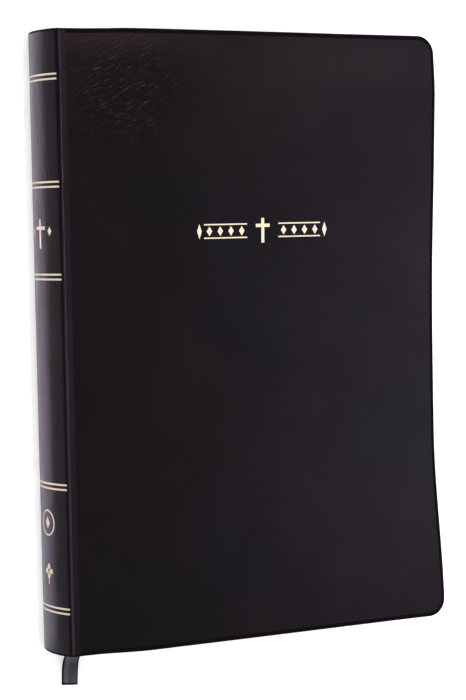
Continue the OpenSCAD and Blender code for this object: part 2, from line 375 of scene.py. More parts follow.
def leather(name, grain_centre, grain_radius, grain, gloss, handled=True):
    """Bonded leather: smooth, with creased grain around one place, whose folds are painted darker as
    painted shade. A handled cover is glossier towards its fore-edge and tail, and scuffed brown
    along its head near the spine. The spine has lengthwise grain, and is rougher and paler past
    its shoulder, next to the front cover."""
    s = Shader(name)
    drawn = s.stretched(0.42, 1.0, turn=0.52) if handled else s.stretched(1.0, 0.42, turn=0.06)
    folds = s.ramp(s.cells(s.warped(drawn, 0.30, 2.2), 0.50), 0.0, 0.42)
    creases = s.ramp(s.cells(s.warped(drawn, 0.12, 4.0), 0.20), 0.0, 0.16)
    fine = s.noise(s.mm, 2.6, 3.0, 0.6)
    cloud = s.noise(s.mm, 0.035, 3.0, 0.55)
    blotches = s.noise(s.mm, 0.011, 2.0, 0.5)
    raised = s.near((*grain_centre, 0.0), grain_radius * 0.25, grain_radius)
    amount = s.math("MULTIPLY_ADD", raised, grain, s.math("MULTIPLY", cloud, 0.06))
    first = s.bump(creases, 0.07, s.math("MULTIPLY", amount, 0.8, clamp=True))
    second = s.bump(folds, 0.12, s.math("ADD", amount, 0.02, clamp=True), first)
    third = s.bump(fine, 0.010, 0.55, second)
    colour = s.mix(s.ramp(blotches, 0.38, 0.62), (0.0036, 0.0028, 0.0036), (0.0052, 0.0036, 0.0042))
    # Painted shade: the grain's fold lines are painted darker where the creased grain is strong.
    crease_shade = s.math("MULTIPLY", s.math("SUBTRACT", 1.0, folds), amount, clamp=True)
    colour = s.mix(crease_shade, colour, (0.0020, 0.0016, 0.0018))
    colour = s.mix(s.math("MULTIPLY", raised, 0.15), colour, (0.0120, 0.0078, 0.0070))
    x, y = s.axis("X"), s.axis("Y")
    if handled:
        scuff = s.math("MULTIPLY", s.ramp(y, H - 13.0, H - 1.0), s.ramp(x, 78.0, 20.0))
        colour = s.mix(s.math("MULTIPLY", scuff, 0.7), colour, (0.0180, 0.0100, 0.0105))
        share = s.math("ADD", s.ramp(x, 0.0, 150.0, 0.55, 1.18), s.ramp(y, 95.0, 10.0, 0.0, 0.24))
        level = s.math("MULTIPLY", share, gloss)
        base = 0.345
    else:
        level = s.ramp(x, SPINE_SHOULDER - 1.5, SPINE_SHOULDER + 1.0, gloss, gloss * 2.0)
        base = s.ramp(x, SPINE_SHOULDER - 1.5, SPINE_SHOULDER + 1.0, 0.22, 0.36)
    rough = s.math("ADD", s.math("ADD", s.ramp(cloud, 0.3, 0.7, 0.0, 0.03), base),
                   s.math("MULTIPLY", fine, 0.05))
    rough = s.math("SUBTRACT", rough, s.math("MULTIPLY", raised, 0.06))
    return s.set(Base_Color=colour, Roughness=rough, Normal=third, Specular_IOR_Level=level,
                 Specular_Tint=(0.95, 0.86, 1.0))


def painted_shade_edge(name):
    """The leather's turned edges, as a matt black band of painted shade."""
    s = Shader(name)
    grain = s.noise(s.mm, 2.2, 3.0, 0.6)
    tone = s.mix(grain, (0.002, 0.0017, 0.002), (0.005, 0.004, 0.005))
    return s.set(Base_Color=tone, Roughness=s.ramp(grain, 0.3, 0.7, 0.62, 0.74),
                 Normal=s.bump(grain, 0.02, 0.6), Specular_IOR_Level=0.02)


def gold(name, colour):
    """Stamped foil, with fine darker specks where the leather's pores show through."""
    s = Shader(name)
    specks = s.noise(s.mm, 3.5, 3.0, 0.6)
    broad = s.noise(s.mm, 0.25, 2.0)
    warmer = tuple(c * f for c, f in zip(colour, (1.08, 1.02, 0.86)))
    tint = s.mix(s.ramp(broad, 0.35, 0.65), colour, warmer)
    tint = s.mix(s.ramp(specks, 0.60, 0.78, 0.0, 0.5), tint, tuple(c * 0.45 for c in colour))
    return s.set(Base_Color=tint, Metallic=0.72, Roughness=s.ramp(specks, 0.3, 0.7, 0.40, 0.56),
                 Normal=s.bump(specks, 0.012, 0.7))


def paper(name, colour, printed=False):
    """Thin uncoated paper. A printed page has two columns of plain grey bars, with no letters."""
    s = Shader(name)
    fibre = s.noise(s.mm, 1.8, 4.0, 0.65)
    cloud = s.noise(s.mm, 0.05, 3.0, 0.5)
    aged = tuple(c * f for c, f in zip(colour, (0.96, 0.95, 0.91)))
    tone = s.mix(s.ramp(cloud, 0.3, 0.7), colour, aged)
    tone = s.mix(s.ramp(fibre, 0.62, 0.8, 0.0, 0.25), tone, tuple(c * 0.82 for c in colour))
    if printed:
        pitch = 3.3
        next_row = 7.31  # moves each row's noise away from the last one's
        x, y = s.axis("X"), s.axis("Y")
        row = s.math("FLOOR", s.math("DIVIDE", y, pitch))
        within = s.math("FRACT", s.math("DIVIDE", y, pitch))
        bar = s.math("MULTIPLY", s.ramp(within, 0.28, 0.38), s.ramp(within, 0.72, 0.62))
        at = s.node("ShaderNodeCombineXYZ")
        s.put(at.inputs["X"], x)
        s.put(at.inputs["Y"], s.math("MULTIPLY", row, next_row))
        words = s.ramp(s.noise(at.outputs[0], 0.42, 1.0), 0.41, 0.45)
        columns = s.math("ADD",
                         s.math("MULTIPLY", s.ramp(x, 20.5, 20.9), s.ramp(x, 83.4, 83.0)),
                         s.math("MULTIPLY", s.ramp(x, 88.0, 88.4), s.ramp(x, 150.9, 150.5)))
        block = s.math("MULTIPLY", s.ramp(y, 19.0, 19.4), s.ramp(y, 214.5, 214.1))
        rule = s.math("MULTIPLY", s.ramp(x, 85.45, 85.55), s.ramp(x, 85.95, 85.85))
        ink = s.math("MULTIPLY", s.math("MULTIPLY", bar, words), s.math("MULTIPLY", columns, block))
        ink = s.math("MAXIMUM", s.math("MULTIPLY", ink, 0.55),
                     s.math("MULTIPLY", s.math("MULTIPLY", rule, block), 0.35))
        tone = s.mix(ink, tone, (0.10, 0.095, 0.09))
    return s.set(Base_Color=tone, Roughness=0.78, Normal=s.bump(fibre, 0.012, 0.6),
                 Specular_IOR_Level=0.3)


def gilt_edge(name):
    """Gilt page edges: fine leaf lines along the block, and the paper showing through between."""
    s = Shader(name, uv=False)
    leaves = s.noise(s.stretched(0.03, 0.03, 6.0), 1.0, 3.0, 0.7)
    broad = s.noise(s.stretched(0.02, 0.02, 0.8), 1.0, 2.0)
    base = (0.74, 0.50, 0.20)
    tint = s.mix(s.ramp(leaves, 0.30, 0.62), tuple(c * 0.55 for c in base), base)
    tint = s.mix(s.ramp(broad, 0.4, 0.7, 0.0, 0.45), tint, (0.84, 0.62, 0.30))
    return s.set(Base_Color=tint, Metallic=0.92, Roughness=s.ramp(leaves, 0.3, 0.7, 0.44, 0.30),
                 Normal=s.bump(leaves, 0.05, 0.75))


def fibre_board(name, colour, uv=True):
    """Card or kraft paper, with darker flecks."""
    s = Shader(name, uv)
    fibre = s.noise(s.warped(s.mm, 0.6, 2.0), 1.4, 5.0, 0.7)
    flecks = s.noise(s.stretched(1.0, 0.25, 1.0, turn=0.8), 1.2, 2.0)
    tone = s.mix(s.ramp(fibre, 0.35, 0.7), tuple(c * 0.82 for c in colour), colour)
    tone = s.mix(s.ramp(flecks, 0.66, 0.76, 0.0, 0.6), tone, tuple(c * 0.55 for c in colour))
    return s.set(Base_Color=tone, Roughness=0.86, Normal=s.bump(fibre, 0.05, 0.8),
                 Specular_IOR_Level=0.25)


def woven(name, colour, pitch):
    """Open cloth: threads along Y and Z, with the holes between painted darker as painted shade."""
    s = Shader(name, uv=False)
    y = s.math("ABSOLUTE", s.math("SINE", s.math("MULTIPLY", s.axis("Y"), math.pi / pitch)))
    z = s.math("ABSOLUTE", s.math("SINE", s.math("MULTIPLY", s.axis("Z"), math.pi / pitch)))
    thread = s.math("MAXIMUM", y, z)
    # Painted shade: the holes between the threads are painted darker.
    shade = s.ramp(thread, 0.35, 0.8)
    fuzz = s.noise(s.mm, 5.0, 3.0)
    tone = s.mix(shade, tuple(c * 0.35 for c in colour), colour)
    tone = s.mix(s.ramp(fuzz, 0.6, 0.8, 0.0, 0.3), tone, tuple(c * 0.7 for c in colour))
    return s.set(Base_Color=tone, Roughness=0.9, Normal=s.bump(thread, 0.15, 0.9),
                 Specular_IOR_Level=0.2)


def twisted(name, colour):
    """Twisted thread."""
    s = Shader(name, uv=False)
    lay = s.node("ShaderNodeTexWave", bands_direction="DIAGONAL")
    s.put(lay.inputs["Vector"], s.mm)
    lay.inputs["Scale"].default_value = 1.1
    lay.inputs["Distortion"].default_value = 1.0
    tone = s.mix(lay.outputs["Fac"], tuple(c * 0.7 for c in colour), colour)
    return s.set(Base_Color=tone, Roughness=0.75, Normal=s.bump(lay.outputs["Fac"], 0.04, 0.8))


def striped(name):
    """The head and tail bands' wound silk, in two colours along the band."""
    s = Shader(name)
    along = s.axis("X")
    wrap = s.math("FRACT", s.math("DIVIDE", along, 1.8))
    two = s.ramp(s.math("ABSOLUTE", s.math("SUBTRACT", wrap, 0.5)), 0.23, 0.27)
    silk = s.noise(s.stretched(6.0, 0.6), 1.0, 2.0)
    wine, cream = (0.16, 0.013, 0.018), (0.72, 0.66, 0.52)
    tone = s.mix(two, wine, cream)
    tone = s.mix(s.ramp(silk, 0.5, 0.8, 0.0, 0.35), tone, (0.05, 0.01, 0.012))
    return s.set(Base_Color=tone, Roughness=0.42, Normal=s.bump(silk, 0.05, 0.7),
                 Sheen_Weight=0.3, Sheen_Roughness=0.4)


def satin(name):
    """The ribbon: fine ribs across it, a dark firm edge along each side, a sealed dark end, and a
    painted highlight streak along it, left of its middle.
    """
    s = Shader(name)
    across, along = s.axis("X"), s.axis("Y")
    ribs = s.math("ABSOLUTE", s.math("SINE", s.math("MULTIPLY", along, math.pi / 0.32)))
    warp_threads = s.noise(s.stretched(7.0, 0.15), 1.0, 2.0, 0.6)
    edge = s.ramp(s.math("ABSOLUTE", across), 2.62, 2.92)
    sealed = s.ramp(along, RIBBON_L - 0.95, RIBBON_L - 0.65)
    dark = s.math("MAXIMUM", edge, sealed)
    # Painted highlight: a lighter streak along the ribbon, left of its middle.
    painted_streak = s.math("MULTIPLY", s.ramp(across, -2.6, -1.9), s.ramp(across, -0.4, -1.6))
    tone = s.mix(s.ramp(warp_threads, 0.35, 0.7), (0.027, 0.022, 0.031), (0.056, 0.046, 0.062))
    tone = s.mix(s.math("MULTIPLY", painted_streak, 0.5), tone, (0.115, 0.100, 0.125))
    tone = s.mix(s.math("MULTIPLY", dark, 0.96), tone, (0.0022, 0.0018, 0.0024))
    normal = s.bump(ribs, 0.03, 0.5, s.bump(edge, 0.06, 0.6))
    return s.set(Base_Color=tone, Roughness=s.ramp(warp_threads, 0.3, 0.7, 0.34, 0.50),
                 Normal=normal, Sheen_Weight=s.math("MULTIPLY_ADD", dark, -0.22, 0.24),
                 Sheen_Roughness=0.35,
                 Specular_IOR_Level=s.math("MULTIPLY_ADD", dark, -0.40, 0.45))


RIBBON_L = 245.7
GRAIN_AT = (28.0, 211.0)
SPINE_SHOULDER = 30.5  # along the spine's section from the back crease
BOARD = (0.34, 0.27, 0.19)
M_COVER = leather("cover_leather", GRAIN_AT, 31.0, 0.50, gloss=0.17)
M_BACK = leather("back_leather", (60.0, 60.0), 60.0, 0.45, gloss=0.17)
M_SPINE = leather("spine_leather", (8.0, 190.0), 60.0, 0.20, gloss=0.10, handled=False)
# Painted shade: the covers' edges and the spine's head and tail are a matt black band.
M_SHADE_EDGE = painted_shade_edge("painted_shade_edge")
M_CARD = fibre_board("card_board", BOARD)
M_CARD_CAD = fibre_board("spine_card", BOARD, uv=False)
M_LINER = paper("liner_paper", (0.020, 0.018, 0.021))
M_ENDPAPER = paper("endpaper", (0.80, 0.76, 0.66))
M_PAGE = paper("page_paper", (0.78, 0.735, 0.62), printed=True)
M_GILT = gilt_edge("gilt_edges")
M_FOIL = gold("gold_foil", (0.88, 0.81, 0.63))
M_SPINE_FOIL = gold("worn_foil", (0.52, 0.46, 0.39))
M_KRAFT = fibre_board("kraft_paper", (0.36, 0.23, 0.12), uv=False)
M_MULL = woven("mull_cloth", (0.70, 0.67, 0.56), 1.2)
M_THREAD = twisted("linen_thread", (0.75, 0.72, 0.62))
M_BAND = striped("band_silk")
M_RIBBON = satin("ribbon_satin")


# ---- Ribbon ----

RIBBON_ROUTE = [
    (-74.4, 113, 12.7), (-74.4, 100, 12.7), (-74.4, 85, 12.7), (-74.4, 70, 12.7), (-74.4, 55, 12.7),
    (-74.4, 40, 12.7), (-74.4, 25, 12.7), (-74.4, 10, 12.7), (-74.4, -5, 12.7), (-74.4, -20, 12.7),
    (-74.4, -35, 12.7), (-74.4, -50, 12.7), (-74.4, -65, 12.7), (-74.4, -80, 12.7), (-74.4, -95, 12.7),
    (-74.4, -106, 12.7), (-74.4, -112, 12.7), (-74.4, -115, 12.6), (-74.4, -117.5, 12.1),
    (-74.4, -119.5, 10.9), (-74.4, -121.5, 9.3), (-74.4, -123.8, 8.3), (-74.4, -126.5, 7.9),
    (-74.4, -129, 7.65), (-74.4, -131.5, 7.5),
]
RIBBON_W = 6.8
RIBBON_T = 0.28
SAG_START = 16  # the route's last point between the pages
SLANT = 0.7  # how much longer the cut end is towards the fore-edge


def make_ribbon():
    route = np.array(RIBBON_ROUTE, float) - ORIGIN
    run = distance_along(route)
    sag = run[SAG_START]
    at = np.unique(np.concatenate([steps(0, sag, 60), steps(sag, run[-1], 26)]))
    line = np.column_stack([np.interp(at, run, route[:, k]) for k in range(3)])
    # The sag's corners are rounded.
    for _ in range(3):
        line[1:-1] = (line[:-2] + 2 * line[1:-1] + line[2:]) / 4
    ahead = np.gradient(line, axis=0)
    ahead /= np.linalg.norm(ahead, axis=1)[:, None]
    across = np.array([1.0, 0, 0])
    up = np.cross(across, ahead)
    up[up[:, 2] < 0] *= -1
    width = RIBBON_W / 2
    columns = steps(-1, 1, 12)
    free = smooth((at - sag) / (run[-1] - sag))
    points, uv, faces = [], [], []
    for side in (1, -1):
        for k, c in enumerate(line):
            edge = np.abs(columns)
            cup = free[k] * (0.08 * np.sin(5 * columns + k * 0.21) - 0.35 * columns ** 2)
            selvedge = 0.25 * ((edge > 0.8) & (edge < 0.95)) - 0.35 * (edge > 0.99)
            thick = RIBBON_T / 2 * (1 + selvedge)
            for q, x in enumerate(columns):
                p = c + across * width * x + up[k] * (side * thick[q] + cup[q])
                p[1] -= SLANT * free[k] ** 6 * (x + 1) / 2
                points.append(p)
                uv.append((width * x, at[k]))
    n, m = len(line), len(columns)

    def grid(s, k, q):
        return s * n * m + k * m + q

    for k in range(n - 1):
        for q in range(m - 1):
            faces.append([grid(0, k + 1, q), grid(0, k + 1, q + 1), grid(0, k, q + 1), grid(0, k, q)])
            faces.append([grid(1, k, q), grid(1, k, q + 1), grid(1, k + 1, q + 1), grid(1, k + 1, q)])
        q = m - 1
        faces.append([grid(0, k, 0), grid(1, k, 0), grid(1, k + 1, 0), grid(0, k + 1, 0)])
        faces.append([grid(0, k, q), grid(0, k + 1, q), grid(1, k + 1, q), grid(1, k, q)])
    for q in range(m - 1):
        k = n - 1
        faces.append([grid(0, 0, q), grid(0, 0, q + 1), grid(1, 0, q + 1), grid(1, 0, q)])
        faces.append([grid(0, k, q), grid(1, k, q), grid(1, k, q + 1), grid(0, k, q + 1)])
    ribbon = new_mesh("ribbon", points, faces, [M_RIBBON], uv, sharp=50)
    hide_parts("ribbon_marker")
    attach(ribbon, "spine")


make_ribbon()

# ---- Covers ----

EDGE_LIFT = 0.9
TAIL_LIFT, TAIL_CURL = 5.9, 75.0
HEAD_LIFT, HEAD_CURL = 4.9, H - 108.0
HEAD_DIP, DIP_RUN = 1.5, 24.0
TAIL_BOW, HEAD_BOW = 1.15, 0.8
HINGE_END = CREASE + 7.0
TURN_IN = 12.0
LEATHER_T = 1.8
EDGE_ROLL = 1.1
# How far the matt black band of painted shade reaches onto the cover's top face, past its rolled edge.
COVER_SHADE_BAND = 0.75
HINGE_COLUMNS = steps(CREASE + CREASE_GAP, HINGE_END + 1.5, 14)


def groove(x):
    """The shallow line pressed into the leather at the crease."""
    return 0.02 * np.exp(-(((x - CREASE) / 1.3) ** 2))


def corner_lift(x, y):
    """How far the limp cover's fore-edge lifts: it curls up towards its tail and its head, and
    dips again at the very head."""
    tail = TAIL_LIFT * smooth((TAIL_CURL - y) / TAIL_CURL)
    head = HEAD_LIFT * smooth((y - H + HEAD_CURL) / HEAD_CURL) ** 1.1
    dip = HEAD_DIP * smooth((y - H + DIP_RUN) / DIP_RUN)
    return (EDGE_LIFT + tail + head - dip) * (np.clip(x, 0, W) / W) ** 1.6


def make_waves(seed, count, short, long, turn, spread):
    """Lengths, directions and phases of waves that add up to an uneven surface."""
    rng = np.random.default_rng(seed)
    length = short * (long / short) ** rng.random(count)
    angle = turn + spread * (rng.random(count) - 0.5)
    phase = 2 * math.pi * rng.random(count)
    return length, angle, phase


def waves(x, y, table):
    total = 0
    for length, angle, phase in zip(*table):
        along = x * math.cos(angle) + y * math.sin(angle)
        total = total + np.sin(2 * math.pi * along / length + phase)
    return total / math.sqrt(len(table[0]))


COVER_WAVES = make_waves(3, 24, 5.0, 16.0, 0.3, 1.6)
BROAD_WAVES = make_waves(5, 9, 38.0, 110.0, 0.9, 3.0)


def cover_relief(x, y):
    """The cover's broad unevenness, and small puckers at the creased grain."""
    near = np.exp(-(((x - GRAIN_AT[0]) / 28) ** 2 + ((y - GRAIN_AT[1] + 3) / 28) ** 2))
    fade = smooth((x - CREASE) / 8)
    small = waves(x, y, COVER_WAVES) * (0.006 + 0.06 * near)
    return fade * (small + 0.05 * waves(x, y, BROAD_WAVES))


def front_top(x, y):
    return T - groove(x) + corner_lift(x, y) + cover_relief(x, y)


def thin(x):
    """The bare leather of the hinge, as a share of the whole cover's thickness."""
    return 0.60 + 0.40 * smooth((x - 9.0) / 3.0)


def front_surface(x, y, depth):
    return front_top(x, y) - depth * thin(x)


def back_surface(x, y, depth):
    return T - groove(x) - depth * thin(x)


def cover_bow(x, up):
    """How far the front cover's tail and head edges bow outwards. up is 0 at the tail and 1 at
    the head."""
    share = smooth((x - CREASE) / 32) * (1 - 0.3 * smooth((x - 70) / 90))
    return share * (HEAD_BOW * np.clip(2 * up - 1, 0, 1) - TAIL_BOW * np.clip(1 - 2 * up, 0, 1))


def make_cover(side, surface, material):
    front = side == "front"
    plan = Plan(CREASE + CREASE_GAP * 0.2, W, 0, H, COVER_R, HINGE_COLUMNS, 92, 140,
                bow=cover_bow if front else None)
    levels = [(EDGE_ROLL + COVER_SHADE_BAND, 0.0, 0.0, 0.0)]
    levels += [(d, depth, d0, arc + COVER_SHADE_BAND) for d, depth, d0, arc in roll(EDGE_ROLL, LEATHER_T)]
    rolled = len(levels) - 1
    arc = levels[-1][3]
    levels += [(TURN_IN, LEATHER_T, 0.0, arc + TURN_IN - EDGE_ROLL),
               (TURN_IN + 0.3, LEATHER_T - 0.22, 0.0, arc + TURN_IN + 0.4 - EDGE_ROLL)]
    # The top face's edge band and the rolled edge take the matt black painted shade.
    cover = plate(side + "_cover_skin", plan, levels, surface, [material, M_SHADE_EDGE],
                  pick=lambda level: 1 if 0 <= level < rolled else 0, flip=not front)
    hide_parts(side + "_cover_leather")
    # The card between the leather's two layers.
    x0 = HINGE_END + 0.1
    gap = 1.1
    card_plan = Plan(x0, W - gap, gap, H - gap, COVER_R - gap, steps(x0, 30, 8), 30, 50)
    card = plate(side + "_cover_board", card_plan, [(0, 0.82, 0, 0), (0, 1.48, 0, 0.7)], surface,
                 [M_CARD], flip=not front)
    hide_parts(side + "_cover_card")
    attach(card, side + "_cover")

    def liner_surface(x, y, depth):
        """The lining sinks a little past the leather's turned-in edge."""
        inner = smooth((np.minimum(np.minimum(y, H - y), W - x) - TURN_IN + 0.7) / 1.4)
        return surface(x, y, depth - 0.14 * inner)

    x0 = CREASE + 0.8
    gap = 3
    liner_plan = Plan(x0, W - gap, gap, H - gap, COVER_R - gap, steps(x0, HINGE_END + 6, 16), 40, 70)
    liner_levels = [(0, LEATHER_T + 0.005, 0, 0), (0, LEATHER_T + 0.165, 0, 0.2)]
    liner = plate(side + "_liner", liner_plan, liner_levels, liner_surface, [M_LINER], flip=not front)
    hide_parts(side + "_pastedown")
    for piece in (cover, liner):
        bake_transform(piece)


make_cover("front", front_surface, M_COVER)
make_cover("back", back_surface, M_BACK)


FLYLEAF_X0 = 5.1
FLYLEAF_DEPTH = 2.1
FLYLEAF_T = 0.2


def make_flyleaf(side, lift):
    """A free endpaper, which follows the cover's curl by a share of it."""
    front = side == "front"

    def surface(x, y, depth):
        return T - depth + lift * corner_lift(x, y)

    plan = Plan(FLYLEAF_X0, PAGES_X1, SQUARE, H - SQUARE, PAGE_R, steps(FLYLEAF_X0, 26, 18), 26, 40)
    levels = [(0, FLYLEAF_DEPTH, 0, 0), (0, FLYLEAF_DEPTH + FLYLEAF_T, 0, 0.2)]
    leaf = plate(side + "_endleaf", plan, levels, surface, [M_ENDPAPER], flip=not front)
    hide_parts(side + "_flyleaf")
    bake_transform(leaf)


make_flyleaf("front", 0.45)
make_flyleaf("back", 0.0)

# ---- Pages ----

GATHERINGS = 24
# Two bodies for each section: the first at the fold, the second past it. The pages are not attached to
# either.
SECTION_BODIES = [("mid_front_pages", "front_pages"), ("spine", "mid_front_pages"),
                  ("spine", "mid_rear_pages"), ("mid_rear_pages", "rear_pages")]
SECTION_SIZE = 6
# The first gatherings follow the cover's curl by these shares.
PAGE_LIFTS = {1: 0.34, 2: 0.24, 3: 0.16, 4: 0.10, 5: 0.05}
# Past the fold, leaves close up over the gaps between sections: millimetres up and down.
CLOSE_UP = {6: (0.0, 0.10), 7: (0.10, 0.0), 12: (0.0, 0.32), 13: (0.32, 0.0), 18: (0.0, 0.10),
            19: (0.10, 0.0)}


def make_gathering(n, rng):
    name = "gathering_%02d" % n
    lo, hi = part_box(name)
    x0, z0 = lo.x / MM - ORIGIN[0], lo.z / MM
    x1, z1 = hi.x / MM - ORIGIN[0], hi.z / MM
    r = (z1 - z0) / 2
    lift = PAGE_LIFTS.get(n, 0.0)
    over, under = CLOSE_UP.get(n, (0.0, 0.0))
    jitter = float(rng.uniform(-0.10, 0.10))
    phase = float(rng.uniform(0, 6.28))

    def surface(x, y, depth):
        share = depth / (2 * r)
        swell = (over * (1 - share) - under * share) * smooth((x - 11) / 8)
        return z1 - depth + swell + lift * corner_lift(x, y)

    plan = Plan(x0, x1 - 0.12 + jitter, SQUARE, H - SQUARE, PAGE_R, steps(x0, x0 + 22, 16), 22, 28)
    levels = []
    rows = 6
    for k in range(rows + 1):
        a = math.pi * k / rows
        ragged = 0.05 * math.sin(phase + 2.4 * k) if 0 < k < rows else 0.03
        levels.append((ragged + 0.06, r * (1 - math.cos(a)), r * (1 - math.sin(a)), r * 2 * k / rows))
    book = plate("page_" + name, plan, levels, surface, [M_PAGE, M_GILT],
                 pick=lambda level: 0 if level in (-1, rows) else 1)
    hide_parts(name)
    a, b = SECTION_BODIES[(n - 1) // SECTION_SIZE]
    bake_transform(book)


page_rng = np.random.default_rng(11)
for _n in range(1, GATHERINGS + 1):
    make_gathering(_n, page_rng)

# ---- Spine ----

SPINE_T = 1.1


def spine_profile():
    """Outer line of the spine's section, from the back crease round to the front one. Its two
    corners are rounded, from back_cut or front_cut millimetres either side of them."""
    end = CREASE - CREASE_GAP * 0.2
    back_cut, front_cut = 0.9, 1.8
    swing = math.asin(MID / SPINE_R)
    a = steps(-swing + back_cut / SPINE_R, swing - front_cut / SPINE_R, 40)
    arc = np.column_stack([SPINE_CX - SPINE_R * np.cos(a), MID + SPINE_R * np.sin(a)])
    t = steps(0, 1, 12)[:, None]

    def bend(start, corner, finish):
        start, corner, finish = (np.array(p, float) for p in (start, corner, finish))
        return (1 - t) ** 2 * start + 2 * t * (1 - t) * corner + t ** 2 * finish

    low = bend((back_cut, 0), (0, 0), arc[0])
    high = bend(arc[-1], (0, T), (front_cut, T))
    back_x = steps(end, back_cut, 5)[:-1]
    front_x = steps(front_cut, end, 5)[1:]
    back = np.column_stack([back_x, groove(back_x)])
    front = np.column_stack([front_x, T - groove(front_x)])
    return np.concatenate([back, low, arc[1:-1], high, front])


SPINE_LINE = spine_profile()


def line_normals(line):
    along = np.gradient(line, axis=0)
    along /= np.linalg.norm(along, axis=1)[:, None]
    return np.column_stack([-along[:, 1], along[:, 0]])


SPINE_NORMALS = line_normals(SPINE_LINE)
SPINE_RUN = distance_along(SPINE_LINE)
SPINE_WAVES = make_waves(8, 20, 6.0, 30.0, 0.1, 0.9)
SPINE_PUCKER = 0.018


def spine_at(run, y, off=0.0):
    """Points of the spine's outer face, at a distance run along its section and a height y."""
    x = np.interp(run, SPINE_RUN, SPINE_LINE[:, 0])
    z = np.interp(run, SPINE_RUN, SPINE_LINE[:, 1])
    nx = np.interp(run, SPINE_RUN, SPINE_NORMALS[:, 0])
    nz = np.interp(run, SPINE_RUN, SPINE_NORMALS[:, 1])
    edge = smooth((np.minimum(run, SPINE_RUN[-1] - run) - 2) / 6)
    off = off + edge * SPINE_PUCKER * waves(run, y, SPINE_WAVES) - deboss(run, y)
    return np.column_stack([x + nx * off, y + 0 * x, z + nz * off])


RULE_DROPS = (17.7, 57.6, 92.1, 170.9, 217.8)
RULE_PITCH = 1.8
RULE_W = 0.7
RULE_END = 3.9
RULES = [H - drop + side * RULE_PITCH / 2 for drop in RULE_DROPS for side in (-1, 1)]
DEBOSS = 0.07


def deboss(run, y):
    """The stamp presses each rule a little into the leather."""
    depth = 0.0
    inside = smooth((np.minimum(run, SPINE_RUN[-1] - run) - RULE_END + 0.3) / 0.6)
    for rule in RULES:
        depth = np.maximum(depth, 1 - smooth((np.abs(y - rule) - RULE_W / 2) / 0.25))
    return DEBOSS * depth * inside


# How far the matt black painted shade reaches in from the spine's head and tail.
SPINE_SHADE_BAND = 0.3


def make_spine():
    stations = len(SPINE_LINE)
    r = SPINE_T / 2
    # Faces nearer the head or tail than this take the matt black painted shade.
    shade_band_end = r + SPINE_SHADE_BAND
    heights = set(steps(r, H - r, 110).tolist() + [shade_band_end, H - shade_band_end])
    for y in RULES:
        heights.update((y - 0.7, y - 0.42, y + 0.42, y + 0.7))
    turn = steps(0, math.pi, 8)[1:-1]
    # Round the skin's section from tail to head and back: height, distance out, and the UV's v.
    loop = [(y, 0.0, y) for y in sorted(heights)]
    loop += [(H - r + r * math.sin(a), r * (math.cos(a) - 1), H - r + r * a) for a in turn]
    loop += [(y, -2 * r, 2 * H - y) for y in steps(H - r, r, 24)]
    loop += [(r - r * math.sin(a), -r - r * math.cos(a), -r * (math.pi - a)) for a in turn]
    ys, offs, vs = np.array(loop).T
    m = len(loop)
    points, uv = [], []
    for k in range(stations):
        run = np.full(m, SPINE_RUN[k])
        p = spine_at(run, ys)
        p[:, 0] += SPINE_NORMALS[k, 0] * offs
        p[:, 2] += SPINE_NORMALS[k, 1] * offs
        points.append(p)
        uv.append(np.column_stack([run, vs]))
    points = np.concatenate(points)
    uv = np.concatenate(uv)
    faces, mats = [], []
    for k in range(stations - 1):
        for q in range(m):
            w = (q + 1) % m
            faces.append((k * m + q, k * m + w, (k + 1) * m + w, (k + 1) * m + q))
            middle = (ys[q] + ys[w]) / 2
            mats.append(1 if min(middle, H - middle) < shade_band_end else 0)
    last = (stations - 1) * m
    faces += [list(range(m))[::-1], list(range(last, last + m))]
    mats += [0, 0]
    skin = new_mesh("spine_skin", points, faces, [M_SPINE, M_SHADE_EDGE], uv, 45, mats)
    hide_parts("spine_leather")
    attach(skin, "spine")


make_spine()

# ---- Foil ----

FOIL_PROUD = 0.035
FOIL_SUNK = 0.05


def foil(name, shapes, place, node, body, material):
    """Each shape is a list of rows of (a, b) points that make a small grid. place(a, b, off)
    lays a point on the surface, off millimetres proud of it."""
    points, faces, uv = [], [], []
    for rows in shapes:
        rows = np.asarray(rows, float)
        n, m = rows.shape[:2]
        start = len(points)
        flat = rows.reshape(-1, 2)
        for off in (FOIL_PROUD, -FOIL_SUNK):
            points.extend(place(flat[:, 0], flat[:, 1], off))
            uv.extend(flat)
        low = start + n * m
        for i in range(n - 1):
            for j in range(m - 1):
                a = start + i * m + j
                faces.append((a, a + m, a + m + 1, a + 1))
                b = low + i * m + j
                faces.append((b, b + 1, b + m + 1, b + m))
        rim = [i * m for i in range(n)] + [(n - 1) * m + j for j in range(1, m)]
        rim += [i * m + m - 1 for i in range(n - 2, -1, -1)] + [j for j in range(m - 2, 0, -1)]
        for p, q in zip(rim, rim[1:] + rim[:1]):
            faces.append((start + p, low + p, low + q, start + q))
    piece = new_mesh(name, points, faces, [material], uv, sharp=35)
    bm = bmesh.new()
    bm.from_mesh(piece.data)
    bmesh.ops.recalc_face_normals(bm, faces=bm.faces)
    bm.to_mesh(piece.data)
    bm.free()
    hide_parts(node)
    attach(piece, body)


def patch(a0, a1, b0, b1, n, m):
    """A rectangle as a grid of n by m faces."""
    a, b = np.meshgrid(steps(a0, a1, n), steps(b0, b1, m), indexing="ij")
    return np.stack([a, b], -1)


def lozenge(ca, cb, w, h):
    """A diamond as a grid of three rows that pinch to a point at both ends."""
    rows = []
    for t in steps(-1, 1, 6):
        half = w / 2 * (1 - abs(t)) + 0.02
        rows.append([(ca + s * half, cb + t * h / 2) for s in (-1, 0, 1)])
    return np.array(rows)


def disc(ca, cb, r):
    """A disc with flattened ends, as a grid three points wide."""
    rows = []
    for t in steps(-0.985, 0.985, 8):
        half = r * math.sqrt(1 - t * t)
        rows.append([(ca + s * half, cb + t * r) for s in (-1, 0, 1)])
    return np.array(rows)


